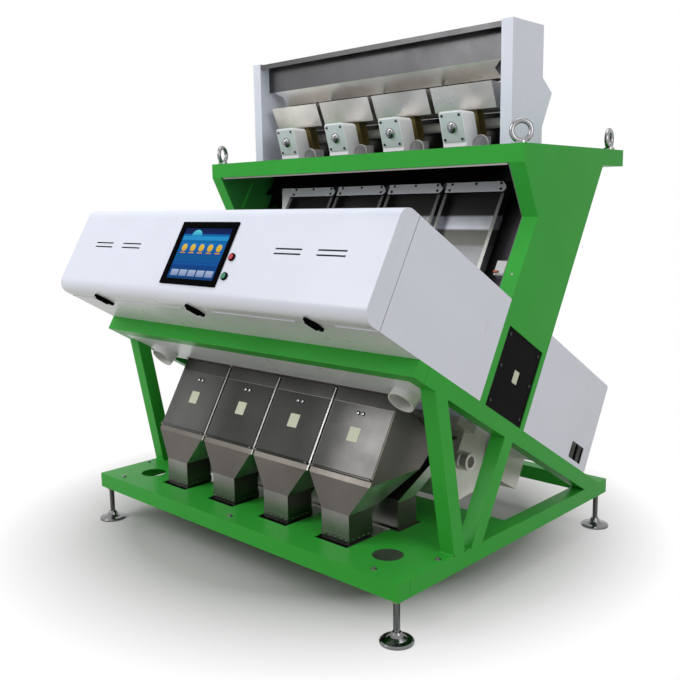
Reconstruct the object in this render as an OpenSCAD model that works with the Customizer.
// Optical colour sorter, four chutes wide.
// Grain runs from the hopper over vibrating trays, down steep chutes and past cameras
// in two tilted boxes, and leaves through two rows of outlets in the base.
// X is across the machine, Y runs from its front to its back, Z is up.
// The origin is on the floor, in the middle of the outline.

/* [Overall] */
// Width across the frame
machine_w = 1760; // [1700:10:1900]
// Number of chutes side by side
lanes = 4; // [4]
// Distance between neighbouring chutes
lane_pitch = 316; // [312:1:324]

/* [Base] */
// Side of the square frame tube
tube = 60; // [50:1:66]
// Wall of the frame tube
tube_wall = 3; // [2:0.5:5]
// Depth of the base frame
base_d = 1421; // [1380:1:1480]
// Height of the base frame above the floor
base_z = 152; // [130:1:180]
// Depth of the base plate
plate_d = 700; // [640:1:760]
// Thickness of the base plate
plate_t = 3; // [2:0.5:5]
// Diameter of the hose holes in the base plate
hose_hole_d = 111; // [90:1:120]
// Distance of the hose holes from the front edge
hose_hole_y = 163; // [140:1:190]

/* [Feet] */
// Diameter of a levelling foot
foot_d = 116; // [100:1:130]
// Diameter of its threaded stem
stem_d = 20; // [16:1:24]
// Distance of the stems from the sides of the frame
foot_inset = 32; // [28:1:36]

/* [Inclined frame] */
// Distance of the inclined beams from the floor line, along the chutes
beam_a = 797; // [780:1:815]
// Place of the front cross beam along the inclined beams
cross_b = -367; // [-380:1:-350]
// Distance of the front legs from the front edge, at the base plate
leg_y = 301; // [285:1:320]
// Lean of the front legs
leg_lean = 10.5; // [8:0.5:13]
// Place of the rear braces along the inclined beams
brace_b = 240; // [225:1:260]

/* [Columns] */
// Front edge of the columns
column_b = 18; // [10:1:26]
// Depth of the columns
column_d = 332; // [310:1:350]
// Sheet thickness of the columns
column_t = 4; // [3:0.5:6]
// Width of the folded edges of the columns
column_flange = 65; // [50:1:80]
// Height at which the front edge bends forward
column_bend_z = 1355; // [1330:1:1380]
// Height of the black side covers
cover_h = 303; // [280:1:320]
// Width of the black side covers
cover_w = 265; // [240:1:275]

/* [Top frame] */
// Front of the top frame
top_y = 706; // [690:1:720]
// Underside of the top frame
top_z = 1549; // [1530:1:1565]
// Side of the top frame tube
top_tube = 66; // [60:1:70]
// Depth of the top frame
top_d = 767; // [740:1:800]
// Outer diameter of the lifting rings
ring_d = 90; // [80:1:96]

/* [Boxes] */
// Height of the two optical boxes
box_h = 388; // [375:1:400]
// Sheet thickness of the boxes
box_t = 3; // [2:0.5:4]
// Front seam of the front box
seam_b = -587; // [-600:1:-575]
// Depth of the front hood
hood_d = 85; // [75:1:95]
// Corner radius of the hood
hood_r = 48; // [40:1:55]
// Gap between the hood and the box
seam_gap = 3; // [2:0.5:4]
// Depth of the rear box
rear_box_d = 535; // [510:1:560]
// Depth of the rear panel
rear_panel_d = 23; // [18:1:30]
// Height of the inspection windows
window_h = 180; // [150:1:200]
// Distance of the dust ports and their hose holes from the sides of the frame
port_inset = 181; // [165:1:200]
// Outer diameter of the dust ports
port_d = 100; // [90:1:105]

/* [Screen and buttons] */
// Width of the screen frame
screen_w = 325; // [300:1:340]
// Height of the screen frame
screen_h = 254; // [240:1:265]
// Width of the black edge of the screen
screen_edge = 22; // [16:1:28]
// Distance of the buttons from the middle of the screen
button_x = 192; // [188:1:205]
// Diameter of the buttons
button_d = 22; // [18:1:24]
// Travel of the buttons
button_travel = 4; // [3:0.5:5]
// Length of a vent slot
vent_slot_w = 128; // [110:1:140]

/* [Latches] */
// Length of a latch handle
latch_l = 98; // [80:1:110]
// Width of a latch handle
latch_w = 24; // [18:1:30]
// Distance of the outer latches from the sides of the frame
latch_inset = 266; // [240:1:300]

/* [Chutes] */
// Width of a chute
chute_w = 296; // [285:1:304]
// Back of the chutes
chute_b = 168; // [160:1:180]
// Depth of the side rails of the chutes
chute_rail = 38; // [30:1:44]
// Sheet thickness of the chutes
chute_t = 3; // [2:0.5:4]
// Lower end of the chutes
chute_low_a = 1150; // [1120:1:1180]
// Upper end of the chutes
chute_top_a = 2090; // [2070:1:2100]

/* [Feeders] */
// Width of a feeder tray
tray_w = 294; // [280:1:302]
// Underside of the trays
tray_z = 1772; // [1765:1:1780]
// Height of the trays
tray_h = 97; // [90:1:102]
// Sheet thickness of the trays
tray_t = 2; // [1.5:0.5:3]
// Width of a vibrator
vibrator_w = 112; // [100:1:124]
// Front of the vibrators, at their foot
vibrator_y = 852; // [848:1:862]
// Diameter of the round cross tube
cross_tube_d = 42; // [34:1:48]

/* [Hopper] */
// Width over the hopper panels
hopper_w = 1454; // [1420:1:1500]
// Thickness of the hopper panels
hopper_panel_t = 50; // [42:1:58]
// Front of the hopper panels
hopper_y = 860; // [850:1:866]
// Depth of the hopper panels
hopper_d = 219; // [214:1:228]
// Top of the hopper panels
hopper_top_z = 2081; // [2060:1:2100]
// Sheet thickness of the bin
bin_t = 2; // [1.5:0.5:3]

/* [Outlets] */
// Width of an outlet at its top
outlet_w = 300; // [285:1:308]
// Plane of the outlet doors
outlet_b = -82; // [-95:1:-75]
// Width of a front spout
front_spout_w = 136; // [120:1:150]
// Width of a rear spout
rear_spout_w = 224; // [200:1:240]
// Sheet thickness of the outlets
outlet_t = 2; // [1.5:0.5:3]
// Height of the outlet doors
door_h = 256; // [240:1:270]
// Distance of the outlet doors from the inclined beams
door_drop = 59; // [50:1:70]
// Width of the cut-outs for the front spouts in the base plate
cutout_w = 164; // [152:1:180]
// Front edge of these cut-outs
cutout_y = 108; // [95:1:120]

/* [Hidden] */
$fn = 48;
tilt = 30;
clear = 0.3;
running_fit = 0.05;
film = 0.05;
past = 20;
half_w = machine_w / 2;

// The tilted boxes are laid out in b, down the inclined beams, and a, up the chutes
function yz(b, a) = [b * cos(tilt) + a * sin(tilt), a * cos(tilt) - b * sin(tilt)];
function b_at(a, z) = (a * cos(tilt) - z) / sin(tilt);
function a_at(b, z) = (z + b * sin(tilt)) / cos(tilt);
function y_at(b, z) = (b + z * sin(tilt)) / cos(tilt);

rail_z = base_z + tube;
plate_z = rail_z + plate_t;
box_a = beam_a + tube;
box_top_a = box_a + box_h;
column_back_b = column_b + column_d;
rear_box_back_b = column_back_b + rear_box_d;
hood_b = seam_b - hood_d;
top_top_z = top_z + top_tube;
top_back_y = top_y + top_d;
front_y = yz(hood_b + hood_r, box_a + hood_r)[0] - hood_r;
y_mid = (front_y + top_back_y) / 2;
lane_x = [for (i = [0 : lanes - 1]) (i - (lanes - 1) / 2) * lane_pitch];

hinge_r = 7;
hinge_pin_r = 4;
hinge_l = 40;
hinge_leaf = 30;
hinge_inset = 280;
hinge_x = [hinge_inset - half_w, half_w - hinge_inset];
hinge_a = box_top_a + hinge_r + clear;

screen_a = box_a + 188;
red_a = box_a + 179;
green_a = box_a + 105;
collar_r = button_d / 2 + 4;
collar_proud = 6;
collar_lap = 2;
button_proud = 3;
switch_l = 32;
vent_slot_h = 6;
vent_slot_a = [box_a + 198, box_a + 216];
vent_slot_inset = [222, 422];
vent_slot_x = [for (d = vent_slot_inset, s = [-1, 1]) s * (half_w - d)];

latch_x = half_w - latch_inset;
latch_t = 11;
latch_pin_r = 6;
latch_pivot_b = seam_b + 28;

rail_end_b = b_at(beam_a, rail_z);
leg_slope = tan(leg_lean);
leg_run = tube / cos(leg_lean);
leg_wall = tube_wall / cos(leg_lean);
cover_inset = 39;
cover_b = column_b + cover_inset;
cover_lap = 8;
cover_t = 4;

window_a = box_a + 90;
window_x = lane_x[lanes - 1] + chute_w / 2 + 28;
window_lap = 12;
glass_t = 8;
lamp_r = 13;
lamp_gap_a = 30;
lamp_gap_b = 70;
camera_gap = 330;

platform_t = 10;
platform_d = 296;
platform_y = top_y + top_tube;
clamp_a = 1752;
clamp_h = 45;
clamp_t = 3;
clamp_ear = 6;
panel_t = 3;
chute_cover_h = 90;
bar_side = 40;
bar_a = [1300, clamp_a + 4];

tray_front_y = 880;
tray_foot_y = 920;
tray_back_y = 1150;
tray_back_h = 58;
tray_cut = 75;
vibrator_lean = 16;
vibrator_base_z = 1640;
vibrator_plate_t = 12;
vibrator_top_z = tray_z - 8;
vibrator_d = 84;
vibrator_r = 14;
slab_h = 32;
slab_back_y = 1036;
buffer_r = 9;
buffer_inset = 18;
slab_gap = 3;
slab_r = 20;
boss_face_r = 15;
boss_face_l = 12;
spring_t = 5;
spring_w = vibrator_w * 0.72;
spring_y = [968, 1012];
cross_tube_y = 1062;
cross_tube_z = 1728;

lip_gap = 2;
bin_lip_y = hopper_y + lip_gap;
bin_lip_h = 21;
bin_front_y = 916;
bin_fold_z = 1950;
bin_low_z = tray_z + tray_h + 18;
bin_low_y = 965;
bin_back_y = 1056;
bin_back_low_y = 1040;
bin_end_x = 620;
bin_top_z = hopper_top_z - 5;

spout_front_y = 136;
spout_back_y = 262;
spout_neck_z = 322;
spout_wide_z = 440;
spout_low_z = plate_z - 12;
flange_w = 12;
flange_t = 3;
band_t = 2;
band_h = 24;
rear_spout_front_y = 356;
rear_spout_back_y = 462;
door_t = 2;
door_margin = 16;
door_hinge_r = 5;
door_pin_r = 3;
door_lug = 12;

green = [0.22, 0.62, 0.24];
white = [0.88, 0.89, 0.94];
steel = [0.62, 0.60, 0.58];
black = [0.09, 0.09, 0.10];
chrome = [0.75, 0.75, 0.77];

// Shared shapes

// Frame of the whole machine, measured from the front of the base
module placed() translate([0, -y_mid, 0]) children();

// Frame of the tilted boxes: X, b and a
module tilted() placed() rotate([-tilt, 0, 0]) children();

// A side view drawn in Y and Z, or in b and a, run along X
module across(x0, x1) translate([x0, 0, 0]) rotate([90, 0, 90]) linear_extrude(x1 - x0) children();

// A front view drawn in X and Z, run along Y
module along_y(y0, y1) translate([0, y1, 0]) rotate([90, 0, 0]) linear_extrude(y1 - y0) children();

module both_sides() {
    children();
    mirror([1, 0, 0]) children();
}

module block(x0, x1, y0, y1, z0, z1) translate([x0, y0, z0]) cube([x1 - x0, y1 - y0, z1 - z0]);

function unit(v) = v / norm(v);
function left(v) = [-v[1], v[0]];
function turn_in(d, e, t) = t * (left(d) + left(e)) / (1 + left(d) * left(e));

// A line of points moved to its left by t
function shifted(p, t) = let (n = len(p)) [
    for (i = [0 : n - 1]) let (
        d = unit(p[max(i, 1)] - p[max(i, 1) - 1]),
        e = unit(p[min(i, n - 2) + 1] - p[min(i, n - 2)])
    ) p[i] + turn_in(d, e, t)
];

// A closed outline moved inwards by t, for points that run anticlockwise
function inset(p, t) = let (n = len(p)) [
    for (i = [0 : n - 1]) let (
        d = unit(p[i] - p[(i + n - 1) % n]),
        e = unit(p[(i + 1) % n] - p[i])
    ) p[i] + turn_in(d, e, t)
];

// Folded sheet along a line of points
function reversed(p) = [for (i = [len(p) - 1 : -1 : 0]) p[i]];
function sheet(p, t) = concat(p, reversed(shifted(p, t)));

// A line of points made longer at both ends
function longer(p, e) = let (n = len(p)) concat(
    [p[0] + e * unit(p[0] - p[1])],
    [for (i = [1 : n - 2]) p[i]],
    [p[n - 1] + e * unit(p[n - 1] - p[n - 2])]
);

// Rectangle with rounded corners on its low-b side
module round_front(b0, b1, a0, a1, r) {
    intersection() {
        union() {
            translate([b0 + r, a0]) square([b1 - b0 - r, a1 - a0]);
            translate([b0, a0 + r]) square([r, a1 - a0 - 2 * r]);
            translate([b0 + r, a0 + r]) circle(r);
            translate([b0 + r, a1 - r]) circle(r);
        }
        translate([b0, a0]) square([b1 - b0, a1 - a0]);
    }
}

// Base

foot_x = half_w - foot_inset;
foot_front_y = tube / 2;
foot_rear_y = base_d - tube / 2;
boss_r = stem_d / 2 + 8;
boss_h = 38;
nut_h = 14;
nut_r = stem_d * 0.85;
stem_bore_r = stem_d / 2 + running_fit;

module each_foot() {
    for (x = [-foot_x, foot_x], y = [foot_front_y, foot_rear_y]) translate([x, y, 0]) children();
}

module spout_cuts() {
    for (x = lane_x) {
        block(x - cutout_w / 2, x + cutout_w / 2, cutout_y, rear_spout_front_y, rail_z - past,
            plate_z + past);
        block(x - rear_spout_w / 2 - 1, x + rear_spout_w / 2 + 1, rear_spout_front_y - 1,
            rear_spout_back_y + 1, rail_z - past, plate_z + past);
    }
}

module base_plate() {
    color(green) placed() difference() {
        block(-half_w, half_w, 0, plate_d, rail_z, plate_z);
        spout_cuts();
        both_sides() translate([port_x, hose_hole_y, rail_z - past])
            cylinder(d = hose_hole_d, h = 2 * past);
    }
}

// Square tube along X whose hollow opens into the tubes that butt against its back or front
module cross_tube(y0, z0, side, wall, butt_y0, butt_y1, butt_x) {
    difference() {
        block(-half_w, half_w, y0, y0 + side, z0, z0 + side);
        block(wall - half_w, half_w - wall, y0 + wall, y0 + side - wall, z0 + wall, z0 + side - wall);
        both_sides()
            block(half_w - butt_x + wall, half_w - wall, butt_y0, butt_y1, z0 + wall, z0 + side - wall);
    }
}

module foot_boss() {
    translate([0, 0, base_z]) cylinder(r = boss_r, h = boss_h);
}

module foot_bore() {
    translate([0, 0, base_z - past]) cylinder(r = stem_bore_r, h = boss_h + 2 * past);
}

module base_cross_tubes() {
    color(green) placed() difference() {
        union() {
            cross_tube(0, base_z, tube, tube_wall, tube - 2 * tube_wall, tube + past, tube);
            cross_tube(base_d - tube, base_z, tube, tube_wall, base_d - tube - past,
                base_d - tube + 2 * tube_wall, tube);
            each_foot() foot_boss();
        }
        each_foot() foot_bore();
    }
}

module base_side_rails() {
    color(green) placed() both_sides() difference() {
        block(half_w - tube, half_w, tube, base_d - tube, base_z, rail_z);
        block(half_w - tube + tube_wall, half_w - tube_wall, tube - past, base_d, base_z + tube_wall,
            rail_z - tube_wall);
    }
}

// Levelling foot with a domed plate and a threaded stem
module foot(x, y) {
    r = foot_d / 2;
    color(chrome) placed() translate([x, y, 0]) {
        rotate_extrude() polygon([
            [0, 0], [r, 0], [r, 6], [r - 5, 10], [r * 0.62, 13], [r * 0.38, 20], [r * 0.32, 30],
            [r * 0.26, 36], [0, 36]
        ]);
        cylinder(d = stem_d, h = base_z + boss_h - 4);
    }
}

module front_left_foot() foot(-foot_x, foot_front_y);
module front_right_foot() foot(foot_x, foot_front_y);
module rear_left_foot() foot(-foot_x, foot_rear_y);
module rear_right_foot() foot(foot_x, foot_rear_y);

module foot_lock_nuts() {
    color([0.45, 0.36, 0.28]) placed() each_foot() translate([0, 0, base_z - nut_h]) difference() {
        cylinder(r = nut_r, h = nut_h, $fn = 6);
        translate([0, 0, -past]) cylinder(r = stem_d / 2 + clear, h = nut_h + 2 * past);
    }
}

// Inclined frame

module inclined_beams() {
    outline = [
        [cross_b + tube, beam_a], [rail_end_b, beam_a], [b_at(box_a, rail_z), box_a], [cross_b + tube, box_a]
    ];
    low_a = beam_a + tube_wall;
    high_a = box_a - tube_wall;
    hollow = [
        [cross_b, low_a], [b_at(low_a, rail_z - past), low_a], [b_at(high_a, rail_z - past), high_a],
        [cross_b, high_a]
    ];
    color(green) tilted() both_sides() difference() {
        across(half_w - tube, half_w) polygon(outline);
        across(half_w - tube + tube_wall, half_w - tube_wall) polygon(hollow);
    }
}

module front_cross_beam() {
    back_b = cross_b + tube;
    color(green) tilted()
        cross_tube(cross_b, beam_a, tube, tube_wall, back_b - 2 * tube_wall, back_b + past, tube);
}

// A point on a leg's leaning edge at height z, and where that edge meets the beam
function leg_point(y, z) = [y - leg_slope * (z - plate_z), z];
function leg_end(y) = leg_point(y, (beam_a - sin(tilt) * (y + leg_slope * plate_z)) /
    (cos(tilt) - sin(tilt) * leg_slope));

module front_legs() {
    back_y = leg_y + leg_run;
    color(green) placed() both_sides() difference() {
        across(half_w - tube, half_w)
            polygon([[leg_y, plate_z], [back_y, plate_z], leg_end(back_y), leg_end(leg_y)]);
        across(half_w - tube + tube_wall, half_w - tube_wall) polygon([
            leg_point(leg_y + leg_wall, plate_z - past), leg_point(back_y - leg_wall, plate_z - past),
            leg_point(back_y - leg_wall, beam_a * 1.2), leg_point(leg_y + leg_wall, beam_a * 1.2)
        ]);
    }
}

module rear_braces() {
    color(green) tilted() both_sides() difference() {
        across(half_w - tube, half_w) polygon([
            [brace_b, a_at(brace_b, plate_z)], [brace_b + tube, a_at(brace_b + tube, plate_z)],
            [brace_b + tube, beam_a], [brace_b, beam_a]
        ]);
        block(half_w - tube + tube_wall, half_w - tube_wall, brace_b + tube_wall, brace_b + tube - tube_wall,
            0, beam_a + past);
    }
}

// Columns and top frame

column_foot_front = yz(column_b, box_a);
column_foot_back = yz(column_back_b, box_a);
column_bend = [y_at(column_b, column_bend_z), column_bend_z];
column_head_front = [top_y, top_z];
column_head_back = [y_at(column_back_b, top_z), top_z];

module columns() {
    front_edge = [column_head_front, column_bend, column_foot_front];
    back_edge = [column_foot_back, column_head_back];
    color(green) placed() both_sides() difference() {
        union() {
            across(half_w - column_t, half_w) polygon(concat(front_edge, back_edge));
            across(half_w - column_flange, half_w) polygon(sheet(front_edge, column_t));
            across(half_w - column_flange, half_w) polygon(sheet(back_edge, column_t));
        }
        rotate([-tilt, 0, 0])
            block(half_w - 2 * column_t, half_w + past, cover_b, cover_b + cover_w, 0, box_a + cover_h);
        block(0, half_w + past, 0, top_back_y, top_z, top_z + past);
    }
}

module column_covers() {
    x1 = half_w - column_t;
    color(black) tilted() both_sides()
        block(x1 - cover_t, x1, cover_b - cover_lap, cover_b + cover_w + cover_lap, box_a,
            box_a + cover_h + cover_lap);
}

module top_front_beam() {
    cross_tube(top_y, top_z, top_tube, tube_wall, top_y + top_tube - 2 * tube_wall,
        top_y + top_tube + past, top_tube);
}

module top_side_beams() {
    both_sides() difference() {
        block(half_w - top_tube, half_w, top_y + top_tube, top_back_y, top_z, top_top_z);
        block(half_w - top_tube + tube_wall, half_w - tube_wall, top_y, top_back_y - tube_wall,
            top_z + tube_wall, top_top_z - tube_wall);
    }
}

module top_rear_beam() {
    x1 = half_w - top_tube;
    difference() {
        block(-x1, x1, top_back_y - top_tube, top_back_y, top_z, top_top_z);
        block(-half_w, half_w, top_back_y - top_tube + tube_wall, top_back_y - tube_wall, top_z + tube_wall,
            top_top_z - tube_wall);
    }
}

module top_frame() {
    color(green) placed() {
        top_front_beam();
        top_side_beams();
        top_rear_beam();
    }
}

ring_wire_r = ring_d * 0.11;
ring_collar_h = 10;
ring_inset = 38;
ring_rear_inset = 53;

// Lifting ring on a round collar, turned about its stem
module lifting_ring(x, y, angle) {
    translate([x, y, top_top_z]) rotate([0, 0, angle]) {
        cylinder(r = ring_d * 0.25, h = ring_collar_h);
        translate([0, 0, ring_collar_h + ring_d / 2 - ring_wire_r]) rotate([90, 0, 0])
            rotate_extrude() translate([ring_d / 2 - ring_wire_r, 0]) circle(ring_wire_r);
    }
}

module lifting_rings() {
    x = half_w - ring_inset;
    color(chrome) placed() {
        lifting_ring(x, top_y + ring_inset, 42);
        lifting_ring(-x, top_y + ring_inset, 112);
        lifting_ring(x, top_back_y - ring_rear_inset, 100);
        lifting_ring(-x, top_back_y - ring_rear_inset, 60);
    }
}

// Front box and hood

module window_cut(b) {
    block(-window_x, window_x, b - past, b + past, window_a, window_a + window_h);
}

module front_box() {
    b0 = seam_b + seam_gap / 2;
    color(white) tilted() difference() {
        block(-half_w, half_w, b0, column_b - film, box_a, box_top_a);
        block(box_t - half_w, half_w - box_t, b0 - past, column_b - box_t, box_a + box_t, box_top_a - box_t);
        window_cut(column_b);
        for (x = [-latch_x, 0, latch_x]) translate([x, latch_pivot_b, box_a - past])
            cylinder(r = latch_pin_r + running_fit, h = 2 * past);
    }
}

// One half of a lift-off hinge, from x0 to x1, with its leaf towards side
module hinge_half(x0, x1, side, sunk) {
    translate([x0, seam_b, hinge_a]) rotate([0, 90, 0]) cylinder(r = hinge_r, h = x1 - x0);
    b = seam_b + side * (seam_gap / 2 + hinge_leaf / 2);
    near = side > 0 ? seam_gap / 2 : -hinge_r;
    far = side > 0 ? hinge_r : -seam_gap / 2;
    block(x0, x1, b - hinge_leaf / 2, b + hinge_leaf / 2, box_top_a - sunk, box_top_a + box_t);
    block(x0, x1, seam_b + near, seam_b + far, box_top_a - sunk, hinge_a);
}

module hood_hinges() {
    color(steel) tilted() for (x = hinge_x) {
        hinge_half(x, x + hinge_l, 1, 0);
        translate([x - hinge_l, seam_b, hinge_a]) rotate([0, 90, 0])
            cylinder(r = hinge_pin_r, h = 2 * hinge_l);
    }
}

module front_hood() {
    b1 = seam_b - seam_gap / 2;
    color(white) tilted() difference() {
        union() {
            across(-half_w, half_w) round_front(hood_b, b1, box_a, box_top_a, hood_r);
            for (x = hinge_x) hinge_half(x - hinge_l, x - clear, -1, box_t / 2);
        }
        across(box_t - half_w, half_w - box_t)
            round_front(hood_b + box_t, b1 + past, box_a + box_t, box_top_a - box_t, hood_r - box_t);
        for (x = hinge_x) translate([x - hinge_l - past, seam_b, hinge_a]) rotate([0, 90, 0])
            cylinder(r = hinge_pin_r + running_fit, h = hinge_l + 2 * past);
        block(-screen_w / 2 + screen_edge / 2, screen_w / 2 - screen_edge / 2, hood_b - past, hood_b + past,
            screen_a - screen_h / 2 + screen_edge / 2, screen_a + screen_h / 2 - screen_edge / 2);
        for (a = [red_a, green_a]) translate([button_x, hood_b - past, a]) rotate([-90, 0, 0])
            cylinder(r = collar_r - collar_lap + clear, h = 2 * past);
        for (x = vent_slot_x, a = vent_slot_a)
            block(x - vent_slot_w / 2, x + vent_slot_w / 2, hood_b - past, hood_b + past, a,
                a + vent_slot_h);
    }
}

screen_frame_t = 6;
screen_depth = 40;

module screen_frame() {
    color(black) tilted() difference() {
        block(-screen_w / 2, screen_w / 2, hood_b - screen_frame_t, hood_b, screen_a - screen_h / 2,
            screen_a + screen_h / 2);
        block(screen_edge - screen_w / 2, screen_w / 2 - screen_edge, hood_b - past, hood_b + past,
            screen_a - screen_h / 2 + screen_edge, screen_a + screen_h / 2 - screen_edge);
    }
}

module screen_panel() {
    lap = 4;
    x = screen_w / 2 - screen_edge + lap;
    h = screen_h / 2 - screen_edge + lap;
    color([0.10, 0.25, 0.60]) tilted()
        block(-x, x, hood_b, hood_b + screen_depth, screen_a - h, screen_a + h);
}

module round_button(a) {
    color(a == red_a ? "firebrick" : "seagreen") tilted()
        translate([button_x, hood_b - collar_proud - button_proud, a]) rotate([-90, 0, 0])
            cylinder(d = button_d, h = button_proud + collar_proud + switch_l - box_t - button_travel - 2);
}

module red_button() round_button(red_a);
module green_button() round_button(green_a);

module button_collars() {
    color([0.16, 0.17, 0.18]) tilted() for (a = [red_a, green_a]) translate([button_x, hood_b, a])
        rotate([-90, 0, 0]) difference() {
            union() {
                translate([0, 0, -collar_proud]) cylinder(r = collar_r, h = collar_proud);
                cylinder(r = collar_r - collar_lap, h = switch_l);
            }
            translate([0, 0, -past]) cylinder(r = button_d / 2 + clear, h = past + switch_l - box_t);
        }
}

// Quarter-turn latch under the seam of the hood
module latch(x) {
    a1 = box_a - clear;
    front = latch_pivot_b - latch_l + latch_w;
    color(black) tilted() {
        translate([x, latch_pivot_b, a1 - latch_t]) cylinder(d = latch_w, h = latch_t);
        translate([x, front, a1 - latch_t]) cylinder(d = latch_w, h = latch_t);
        block(x - latch_w / 2, x + latch_w / 2, front, latch_pivot_b, a1 - latch_t, a1);
        translate([x, latch_pivot_b, a1]) cylinder(r = latch_pin_r, h = box_t + 2 * clear);
        translate([x, latch_pivot_b, box_a + box_t + clear]) cylinder(r = latch_pin_r + 4, h = 6);
    }
}

module left_latch() latch(-latch_x);
module middle_latch() latch(0);
module right_latch() latch(latch_x);

panel_back_b = -55;
port_x = half_w - port_inset;
port_b = -149;
port_r = port_d / 2;
port_wall = 4;
port_l = 44;
port_turn = 20;

// Pipe stub that leans forward from the underside panel
module port_shape(r, l) {
    translate([port_x, port_b, beam_a]) rotate([-port_turn, 0, 0]) translate([0, 0, -l])
        cylinder(r = r, h = l + 2 * port_r);
}

module underside_panel() {
    x1 = half_w - tube;
    color(white) tilted() difference() {
        block(-x1, x1, cross_b + tube, panel_back_b, beam_a, beam_a + box_t);
        both_sides() port_shape(port_r - port_wall, port_l + past);
    }
}

module dust_ports() {
    color(white) tilted() both_sides() difference() {
        port_shape(port_r, port_l);
        port_shape(port_r - port_wall, port_l + past);
        block(0, half_w, port_b - 4 * port_r, port_b + 4 * port_r, beam_a, beam_a + 4 * port_r);
    }
}

// Rear box

vent_b = 738;
vent_w = 112;
vent_a = box_a + 19;
vent_h = 69;
vent_lap = 4;
vent_bars = 9;
vent_rib = 8;

module rear_box() {
    color(white) tilted() difference() {
        block(-half_w, half_w, column_back_b + film, rear_box_back_b, box_a, box_top_a);
        block(box_t - half_w, half_w - box_t, column_back_b + box_t, rear_box_back_b + past, box_a + box_t,
            box_top_a - box_t);
        window_cut(column_back_b);
        block(half_w - past, half_w + past, vent_b, vent_b + vent_w, vent_a, vent_a + vent_h);
    }
}

module rear_panel() {
    color(white) tilted() difference() {
        mirror([0, 1, 0]) across(-half_w, half_w)
            round_front(-rear_box_back_b - rear_panel_d, -rear_box_back_b, box_a, box_top_a,
                rear_panel_d / 2);
        block(box_t - half_w, half_w - box_t, rear_box_back_b - past, rear_box_back_b + rear_panel_d - box_t,
            box_a + rear_panel_d, box_top_a - rear_panel_d);
    }
}

module rear_vent() {
    x1 = half_w - box_t;
    step = vent_h / vent_bars;
    color(black) tilted() difference() {
        block(x1 - box_t, x1, vent_b - vent_lap, vent_b + vent_w + vent_lap, vent_a - vent_lap,
            vent_a + vent_h + vent_lap);
        for (i = [0 : vent_bars - 1], j = [0, 1])
            block(x1 - past, x1 + past, vent_b + vent_rib + j * vent_w / 2,
                vent_b + vent_w / 2 - vent_rib + j * vent_w / 2, vent_a + (i + 0.3) * step,
                vent_a + (i + 0.7) * step);
    }
}

// Optics inside the two boxes

camera_side = 80;
camera_l = 110;
lens_r = 28;
lens_l = 60;

// Line camera on its stand, looking along +b
module camera(x, b) {
    a = window_a + window_h / 2;
    s = camera_side / 2;
    foot = camera_side / 3;
    block(x - s, x + s, b - camera_l, b, a - s, a + s);
    block(x - foot, x + foot, b - camera_l, b, box_a + box_t, a - s);
    translate([x, b, a]) rotate([-90, 0, 0]) cylinder(r = lens_r, h = lens_l);
}

front_camera_b = column_b - camera_gap;
rear_camera_b = column_back_b + camera_gap;

module line_cameras() {
    color([0.2, 0.2, 0.22]) tilted() for (x = lane_x) {
        camera(x, front_camera_b);
        translate([0, 2 * rear_camera_b, 0]) mirror([0, 1, 0]) camera(x, rear_camera_b);
    }
}

module lamp_tubes() {
    x1 = half_w - box_t;
    color("white") tilted() for (b = [column_b - lamp_gap_b, column_back_b + lamp_gap_b])
        for (a = [window_a - lamp_gap_a, window_a + window_h + lamp_gap_a])
            translate([-x1, b, a]) rotate([0, 90, 0]) cylinder(r = lamp_r, h = 2 * x1);
}

module inspection_glass() {
    color([0.6, 0.7, 0.75]) tilted() for (b = [column_b - box_t - glass_t, column_back_b + box_t])
        block(-window_x - window_lap, window_x + window_lap, b, b + glass_t, window_a - window_lap,
            window_a + window_h + window_lap);
}

nozzle_bar_b = 262;
nozzle_bar_h = 44;
nozzle_r = 3;
nozzle_step = 20;
valve_box_x = lane_x[lanes - 1] + chute_w / 2 - 22;
valve_box_b = column_back_b + 45;
valve_box_h = 217;
valve_box_d = 211;
valve_top_d = 168;
valve_tip = 94;
valve_tip_h = 302;
air_inlet_b = valve_box_b + 36;
air_inlet_a = box_a - 145;
air_inlet_r = 38;
air_inlet_l = 48;
duct_x = valve_box_x + 20;
duct_b = column_back_b + 376;
duct_d = 140;
duct_h = 142;
manifold_lip = 40;
manifold_gap = 12;
nozzle_depth = 30;

// Bar of air nozzles under the rear box, and the air inlet of its valve box
module ejector_manifold() {
    x1 = window_x;
    lip_b = column_back_b + manifold_lip;
    color(chrome) tilted() {
        difference() {
            union() {
                block(-x1, x1, nozzle_bar_b, lip_b, box_a - nozzle_bar_h, box_a - manifold_gap);
                block(-x1, x1, column_back_b, lip_b, box_a - manifold_gap, box_a);
            }
            for (x = [-x1 + nozzle_step : nozzle_step : x1 - nozzle_step])
                translate([x, nozzle_bar_b - past, box_a - nozzle_bar_h / 2]) rotate([-90, 0, 0])
                    cylinder(r = nozzle_r, h = past + nozzle_depth, $fn = 16);
        }
        translate([valve_box_x, air_inlet_b, air_inlet_a]) rotate([0, 90, 0]) rotate_extrude() polygon([
            [air_inlet_r * 0.6, 0], [air_inlet_r, 0], [air_inlet_r, 10], [air_inlet_r * 0.8, 14],
            [air_inlet_r * 0.8, 30], [air_inlet_r * 0.95, 32], [air_inlet_r * 0.95, air_inlet_l],
            [air_inlet_r * 0.6, air_inlet_l]
        ]);
    }
}

// Sheet box of the air valves, hung under the rear box
module valve_box() {
    outline = [
        [valve_box_b, box_a], [valve_box_b, box_a - valve_box_h],
        [valve_box_b + valve_tip, box_a - valve_tip_h],
        [valve_box_b + valve_box_d, box_a - valve_box_h], [valve_box_b + valve_top_d, box_a]
    ];
    color(steel) tilted() difference() {
        across(-valve_box_x, valve_box_x) polygon(outline);
        across(outlet_t - valve_box_x, valve_box_x - outlet_t) polygon(inset(outline, outlet_t));
    }
}

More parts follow.
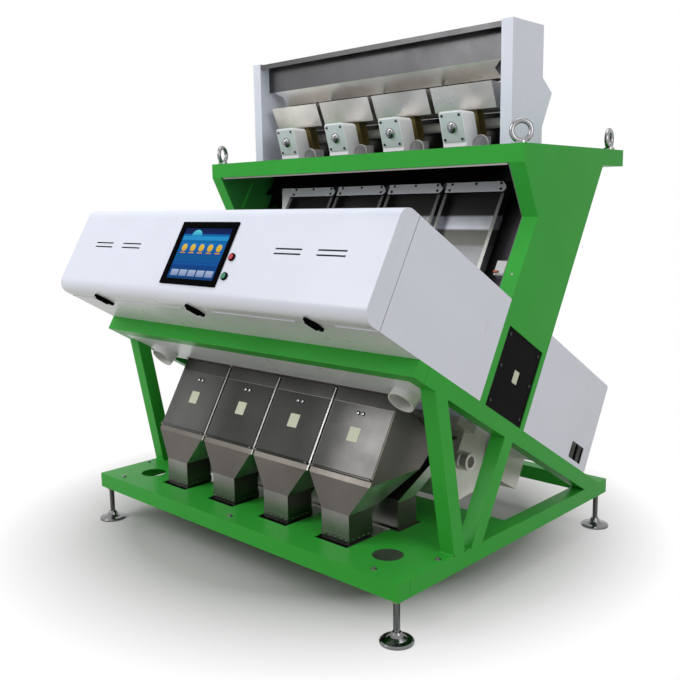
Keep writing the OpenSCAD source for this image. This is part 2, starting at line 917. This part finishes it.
// Sheet duct under the back of the rear box
module rear_duct() {
    color(steel) tilted() difference() {
        block(-duct_x, duct_x, duct_b, duct_b + duct_d, box_a - duct_h, box_a);
        block(outlet_t - duct_x, duct_x - outlet_t, duct_b + outlet_t, duct_b + duct_d - outlet_t,
            box_a - duct_h + outlet_t, box_a - outlet_t);
    }
}

// Chutes

module chutes() {
    b0 = chute_b - chute_rail;
    color(steel) tilted() for (x = lane_x) difference() {
        block(x - chute_w / 2, x + chute_w / 2, b0, chute_b, chute_low_a, chute_top_a);
        block(x - chute_w / 2 + chute_t, x + chute_w / 2 - chute_t, b0 - past, chute_b - chute_t,
            chute_low_a - past, chute_top_a + past);
    }
}

module chute_clamps() {
    b1 = chute_b - chute_rail;
    h = clamp_h;
    w = chute_w / 2;
    color(white) tilted() for (x = lane_x) translate([x, 0, clamp_a]) along_y(b1 - clamp_t, b1)
        polygon([
            [-w, 0], [w - h / 4, 0], [w, h / 4], [w, h / 2], [w - h / 2, h], [-w - clamp_ear, h],
            [-w, h * 0.75]
        ]);
}

module chute_bars() {
    x1 = half_w - column_t;
    color(black) tilted() for (a = bar_a) difference() {
        block(-x1, x1, chute_b, chute_b + bar_side, a, a + bar_side);
        block(-half_w, half_w, chute_b + tube_wall, chute_b + bar_side - tube_wall, a + tube_wall,
            a + bar_side - tube_wall);
    }
}

// Black sheets that close the chute bay: two sides, the back, and a cover over the chute heads
module chute_bay_panels() {
    x0 = half_w - column_flange;
    x1 = half_w - column_t - clear;
    back_b = chute_b + bar_side;
    side = [
        column_head_front, column_bend, yz(column_b, box_top_a + clear),
        yz(chute_b - clear, box_top_a + clear), [y_at(chute_b - clear, top_z), top_z]
    ];
    color(black) placed() {
        both_sides() across(x0 - panel_t, x0) polygon(side);
        rotate([-tilt, 0, 0]) {
            block(-x1, x1, back_b, back_b + panel_t, box_top_a + clear, bar_a[1] + bar_side);
            block(panel_t - x0, x0 - panel_t, chute_b - chute_rail - panel_t, chute_b - chute_rail,
                clamp_a + clamp_h + clear, clamp_a + clamp_h + chute_cover_h);
        }
    }
}

// Feeders

module feeder_platform() {
    x1 = half_w - top_tube;
    color(green) placed()
        block(-x1, x1, platform_y, platform_y + platform_d, top_top_z - platform_t, top_top_z);
}

module vibrator_bases() {
    slab_y = vibrator_y + vibrator_d + slab_gap;
    w = vibrator_w / 2;
    z0 = vibrator_base_z - vibrator_plate_t;
    z1 = vibrator_base_z + slab_h;
    color(white) placed() for (x = lane_x) translate([x, 0, 0]) {
        block(-w, w, vibrator_y, slab_back_y, z0, vibrator_base_z);
        block(-w, w, slab_y, slab_back_y - slab_r, vibrator_base_z, z1);
        block(slab_r - w, w - slab_r, slab_y, slab_back_y, vibrator_base_z, z1);
        for (s = [-1, 1]) {
            translate([s * (w - slab_r), slab_back_y - slab_r, vibrator_base_z])
                cylinder(r = slab_r, h = slab_h);
            for (y = [vibrator_y + buffer_inset, slab_back_y - buffer_inset])
                translate([s * (w - buffer_inset), y, top_top_z]) cylinder(r = buffer_r, h = z0 - top_top_z);
        }
    }
}

// Magnet housing that leans forward, with rounded shoulders and a round boss on its face
module vibrator_housings() {
    h = vibrator_top_z - vibrator_base_z;
    run = h * tan(vibrator_lean);
    w = vibrator_w / 2;
    color(white) placed() for (x = lane_x) translate([x, vibrator_y, vibrator_base_z]) {
        intersection() {
            across(-w, w) polygon([[0, 0], [vibrator_d, 0], [vibrator_d - run, h], [-run, h]]);
            along_y(-h, vibrator_d) {
                translate([-w, 0]) square([2 * w, h - vibrator_r]);
                translate([vibrator_r - w, 0]) square([2 * (w - vibrator_r), h]);
                for (s = [-1, 1]) translate([s * (w - vibrator_r), h - vibrator_r]) circle(vibrator_r);
            }
        }
        translate([0, -run / 2, h / 2]) rotate([90 - vibrator_lean, 0, 0])
            cylinder(r = boss_face_r, h = boss_face_l);
    }
}

module feeder_springs() {
    z0 = vibrator_base_z + slab_h;
    z1 = tray_z - clear;
    run = (z1 - z0) * tan(vibrator_lean);
    color([0.62, 0.50, 0.20]) placed() for (x = lane_x, y = spring_y)
        across(x - spring_w / 2, x + spring_w / 2)
            polygon([[y, z0], [y + spring_t, z0], [y + spring_t - run, z1], [y - run, z1]]);
}

module feeder_tray(i) {
    x = lane_x[i - 1];
    z1 = tray_z + tray_h;
    front = [[tray_front_y, z1], [tray_foot_y, tray_z], [tray_back_y, tray_z]];
    color(steel) placed() difference() {
        across(x - tray_w / 2, x + tray_w / 2)
            polygon(concat(front, [[tray_back_y, tray_z + tray_back_h], [tray_back_y - tray_cut, z1]]));
        across(x - tray_w / 2 + tray_t, x + tray_w / 2 - tray_t)
            polygon(concat(longer(shifted(front, tray_t), past), [[tray_back_y + past, z1 + past]]));
    }
}

module feeder_tray_1() feeder_tray(1);
module feeder_tray_2() feeder_tray(2);
module feeder_tray_3() feeder_tray(3);
module feeder_tray_4() feeder_tray(4);

cable_r = 3;
cable_turn_r = 38;

// Short lead of each vibrator, looped from the side of its base down to the platform
module vibrator_cables() {
    z = vibrator_base_z - vibrator_plate_t / 2;
    turn = cable_turn_r - cable_r - clear;
    color([0.75, 0.75, 0.72]) placed() for (x = lane_x)
        translate([x + vibrator_w / 2 + cable_turn_r, vibrator_y + vibrator_d / 2, z]) {
            rotate([90, 0, 0]) rotate_extrude(angle = 180) translate([turn, 0]) circle(cable_r, $fn = 16);
            translate([turn, 0, top_top_z - z]) cylinder(r = cable_r, h = z - top_top_z, $fn = 16);
        }
}

// Hopper

hopper_back_y = hopper_y + hopper_d;
nose_d = 71;
nose_y = hopper_back_y + nose_d;
nose_z = [1697, 1833, 1885];
bin_ramp_x = 20;
bin_ramp_h = 26;

module hopper_panels() {
    outline = [
        [hopper_y, top_top_z], [hopper_back_y, top_top_z], [hopper_back_y, nose_z[0]], [nose_y, nose_z[1]],
        [hopper_back_y, nose_z[2]], [hopper_back_y, hopper_top_z], [hopper_y, hopper_top_z]
    ];
    x0 = hopper_w / 2 - hopper_panel_t;
    x1 = hopper_w / 2;
    color(white) placed() both_sides() difference() {
        across(x0, x1) polygon(outline);
        across(x0 + box_t, x1 - box_t) polygon(inset(outline, box_t));
        block(x0 + box_t, x1 - box_t, hopper_y + box_t, hopper_back_y - box_t, top_top_z - past,
            top_top_z + past);
    }
}

// Bin of folded sheet that hangs between the hopper panels, open above the trays
module hopper_bin() {
    x1 = hopper_w / 2 - hopper_panel_t;
    top = [[bin_lip_y, bin_top_z - bin_lip_h], [bin_lip_y, bin_top_z], [bin_front_y, bin_top_z]];
    front = [[bin_front_y, bin_top_z], [bin_front_y, bin_fold_z], [bin_low_y, bin_low_z]];
    back_lip = hopper_back_y - lip_gap;
    end_x = bin_end_x - bin_ramp_x;
    back_top = [[bin_back_y, bin_top_z], [back_lip, bin_top_z], [back_lip, bin_top_z - bin_lip_h]];
    back = [[bin_back_low_y, bin_low_z], [bin_back_y, bin_fold_z], [bin_back_y, bin_top_z]];
    color(steel) placed() {
        difference() {
            across(-x1, x1) {
                polygon(sheet(top, -bin_t));
                polygon(sheet(front, bin_t));
                polygon(sheet(back_top, -bin_t));
                polygon(sheet(back, bin_t));
            }
            both_sides() along_y(bin_front_y - past, bin_back_y + past)
                polygon([
                    [bin_end_x, bin_low_z - past], [x1 + past, bin_low_z - past], [x1 + past, bin_fold_z],
                    [bin_end_x + bin_ramp_x, bin_fold_z], [end_x, bin_fold_z - bin_ramp_h]
                ]);
        }
        both_sides() across(end_x - bin_t, end_x) polygon(concat(front, back));
    }
}

module feeder_cross_tube() {
    x1 = hopper_w / 2 - hopper_panel_t;
    color([0.80, 0.80, 0.78]) placed() translate([-x1, cross_tube_y, cross_tube_z]) rotate([0, 90, 0])
        difference() {
            cylinder(d = cross_tube_d, h = 2 * x1);
            translate([0, 0, -past]) cylinder(d = cross_tube_d - 2 * tube_wall, h = 2 * x1 + 2 * past);
        }
}

// Outlets

door_top_a = beam_a - door_drop;
door_low_a = door_top_a - door_h;
outlet_flange_d = 14;
corner_relief = 4;
outlet_flange_x = outlet_w / 2 - corner_relief;
door_fold = 26;
neck_drop = 22;
neck_rise = 8;
divider_front_b = 205;
divider_front_drop = 77;
divider_back_b = 240;
divider_back_drop = 97;
rear_top_b = 330;
rear_top_drop = 17;
divider_front = yz(divider_front_b, beam_a - divider_front_drop);
divider_back = yz(divider_back_b, beam_a - divider_back_drop);
rear_top = yz(rear_top_b, beam_a - rear_top_drop);
front_wall = [
    yz(outlet_b, beam_a - flange_t / 2), yz(outlet_b, door_low_a - door_fold),
    [spout_front_y, spout_neck_z], [spout_front_y, spout_low_z]
];
front_back_wall = [
    [spout_back_y, spout_low_z], [spout_back_y, spout_neck_z - neck_drop], divider_front
];
rear_wall = [
    divider_back, [rear_spout_front_y, spout_neck_z + neck_rise], [rear_spout_front_y, spout_low_z]
];
rear_back_wall = [
    [rear_spout_back_y, spout_low_z], [rear_spout_back_y, spout_neck_z + neck_rise], rear_top
];

// Outlet seen from the front: full width above, drawn in to the spout below
function outlet_half(w, spout) = [
    [w / 2, beam_a + past], [w / 2, spout_wide_z], [spout / 2, spout_neck_z], [spout / 2, spout_low_z]
];
function mirrored(p) = [for (q = p) [-q[0], q[1]]];

module outlet(x, wall, back_wall, spout) {
    half = outlet_half(outlet_w, spout);
    thin = longer(shifted(half, -outlet_t), past);
    translate([x, 0, 0]) difference() {
        intersection() {
            across(-outlet_w / 2, outlet_w / 2) polygon(concat(wall, back_wall));
            along_y(0, base_d) polygon(concat(half, reversed(mirrored(half))));
        }
        intersection() {
            across(-outlet_w / 2, outlet_w / 2)
                polygon(concat(longer(shifted(wall, outlet_t), past),
                    longer(shifted(back_wall, outlet_t), past)));
            along_y(0, base_d) polygon(concat(thin, reversed(mirrored(thin))));
        }
    }
}

// Band round the lower end of a spout
module spout_band(x, y0, y1, spout) {
    w = spout / 2;
    difference() {
        block(x - w - band_t, x + w + band_t, y0 - band_t, y1 + band_t, plate_z, plate_z + band_h);
        block(x - w + outlet_t, x + w - outlet_t, y0 + outlet_t, y1 - outlet_t, plate_z - past,
            plate_z + band_h + past);
    }
}

// Flange round a spout, on the base plate
module spout_flange(x, y0, y1, spout) {
    difference() {
        block(x - spout / 2 - flange_w, x + spout / 2 + flange_w, y0 - flange_w, y1 + flange_w, plate_z,
            plate_z + flange_t);
        block(x - spout / 2 + outlet_t, x + spout / 2 - outlet_t, y0 + outlet_t, y1 - outlet_t,
            plate_z - past, plate_z + past);
    }
}

door_w = outlet_w - 8;
door_hinge_b = outlet_b - door_hinge_r - clear;

module front_outlets() {
    color(steel) {
        placed() for (x = lane_x) {
            outlet_with_doorway(x);
            spout_band(x, spout_front_y, spout_back_y, front_spout_w);
        }
        tilted() for (x = lane_x) {
            block(x - outlet_flange_x, x + outlet_flange_x, outlet_b - outlet_flange_d,
                outlet_b + outlet_t / 2, beam_a - flange_t, beam_a);
            translate([x - door_w / 2, door_hinge_b, door_low_a]) rotate([0, 90, 0])
                cylinder(r = door_pin_r, h = door_w);
            for (s = [-1, 1]) door_lug(x + s * (door_w / 2 - door_lug / 2));
        }
    }
}

// Ear that holds an end of the hinge pin of a door
module door_lug(x) {
    translate([x - door_lug / 2, door_hinge_b, door_low_a]) rotate([0, 90, 0])
        cylinder(r = door_hinge_r, h = door_lug);
    block(x - door_lug / 2, x + door_lug / 2, door_hinge_b, outlet_b, door_low_a - door_hinge_r, door_low_a);
}

module outlet_with_doorway(x) {
    difference() {
        outlet(x, front_wall, front_back_wall, front_spout_w);
        rotate([-tilt, 0, 0])
            block(x - door_w / 2 + door_margin, x + door_w / 2 - door_margin, outlet_b - past,
                outlet_b + past, door_low_a + door_margin, door_top_a - door_margin);
    }
}

module rear_outlets() {
    color(steel) placed() for (x = lane_x) {
        outlet(x, rear_wall, rear_back_wall, rear_spout_w);
        spout_flange(x, rear_spout_front_y, rear_spout_back_y, rear_spout_w);
    }
}

// Sampling door on a rolled hinge along its lower edge
module outlet_door(i) {
    x = lane_x[i - 1];
    w = door_w / 2;
    roll = w - door_lug - clear;
    b1 = outlet_b - clear;
    color(steel) tilted() difference() {
        union() {
            block(x - w, x + w, b1 - door_t, b1, door_low_a + door_hinge_r + 1, door_top_a);
            block(x - roll, x + roll, b1 - door_t, b1, door_low_a, door_low_a + door_hinge_r + 1);
            translate([x - roll, door_hinge_b, door_low_a]) rotate([0, 90, 0])
                cylinder(r = door_hinge_r, h = 2 * roll);
        }
        translate([x - w, door_hinge_b, door_low_a]) rotate([0, 90, 0])
            cylinder(r = door_pin_r + running_fit, h = 2 * w);
    }
}

module outlet_door_1() outlet_door(1);
module outlet_door_2() outlet_door(2);
module outlet_door_3() outlet_door(3);
module outlet_door_4() outlet_door(4);

base_plate();
base_cross_tubes();
base_side_rails();
inclined_beams();
front_cross_beam();
front_legs();
rear_braces();
columns();
column_covers();
top_frame();
lifting_rings();
front_left_foot();
front_right_foot();
rear_left_foot();
rear_right_foot();
foot_lock_nuts();
front_box();
front_hood();
hood_hinges();
screen_frame();
screen_panel();
red_button();
green_button();
button_collars();
left_latch();
middle_latch();
right_latch();
underside_panel();
dust_ports();
rear_box();
rear_panel();
rear_vent();
chutes();
chute_clamps();
chute_bars();
chute_bay_panels();
line_cameras();
lamp_tubes();
inspection_glass();
ejector_manifold();
valve_box();
rear_duct();
feeder_platform();
vibrator_bases();
vibrator_housings();
feeder_springs();
feeder_tray_1();
feeder_tray_2();
feeder_tray_3();
feeder_tray_4();
hopper_panels();
hopper_bin();
feeder_cross_tube();
front_outlets();
rear_outlets();
outlet_door_1();
outlet_door_2();
outlet_door_3();
outlet_door_4();
vibrator_cables();
